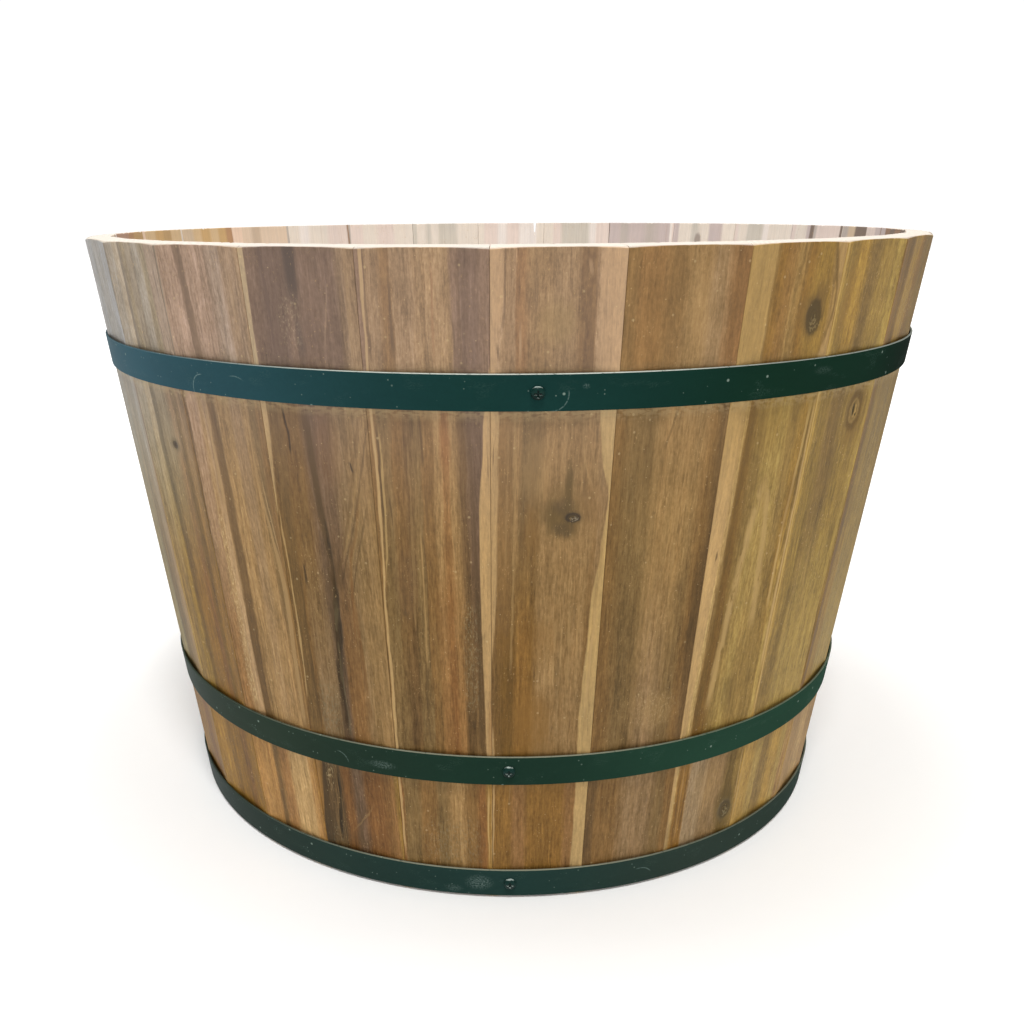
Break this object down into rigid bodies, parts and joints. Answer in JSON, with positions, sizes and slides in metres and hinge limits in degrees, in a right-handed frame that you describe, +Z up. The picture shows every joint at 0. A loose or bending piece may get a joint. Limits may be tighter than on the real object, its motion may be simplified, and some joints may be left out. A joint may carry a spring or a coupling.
{
  "type": "wooden barrel planter",
  "caption": "Round tapered tub of flat wooden staves bound by painted steel strip hoops, open at the top, with a boarded base raised inside the foot and drain holes.",
  "frame": {"origin": "on the floor, at the tub's own axis (the middle of the foot)", "axes": "+Z up along the tub's axis, -Y towards the front with the hoop screws, +X to the right seen from the front"},
  "size_m": [0.5585, 0.5585, 0.3816],
  "materials": {
    "stave_wood": "planed acacia, bare or lightly oiled, with sapwood edges, dark streaks and knots",
    "base_wood": "planed hardwood, bare",
    "hoop_steel": "steel strip in dark green paint, semi-matt, paint worn off the edges",
    "fastener_steel": "screws and rivets painted with the hoops, semi-matt",
    "batten_screw_steel": "zinc-plated wood screws"
  },
  "bodies": {
    "root": {"stave_01": "stave_wood", "stave_02": "stave_wood", "stave_03": "stave_wood", "stave_04": "stave_wood", "stave_05": "stave_wood", "stave_06": "stave_wood", "stave_07": "stave_wood", "stave_08": "stave_wood", "stave_09": "stave_wood", "stave_10": "stave_wood", "stave_11": "stave_wood", "stave_12": "stave_wood", "stave_13": "stave_wood", "stave_14": "stave_wood", "stave_15": "stave_wood", "stave_16": "stave_wood", "stave_17": "stave_wood", "stave_18": "stave_wood", "stave_19": "stave_wood", "stave_20": "stave_wood", "stave_21": "stave_wood", "stave_22": "stave_wood", "stave_23": "stave_wood", "stave_24": "stave_wood", "stave_25": "stave_wood", "stave_26": "stave_wood", "stave_27": "stave_wood", "top_hoop": "hoop_steel", "middle_hoop": "hoop_steel", "bottom_hoop": "hoop_steel", "top_hoop_screws": "fastener_steel", "middle_hoop_screws": "fastener_steel", "bottom_hoop_screws": "fastener_steel", "hoop_rivets": "fastener_steel", "base_board_1": "base_wood", "base_board_2": "base_wood", "base_board_3": "base_wood", "base_board_4": "base_wood", "base_board_5": "base_wood", "base_batten_left": "base_wood", "base_batten_right": "base_wood", "batten_screws": "batten_screw_steel"}
  },
  "joints": []
}
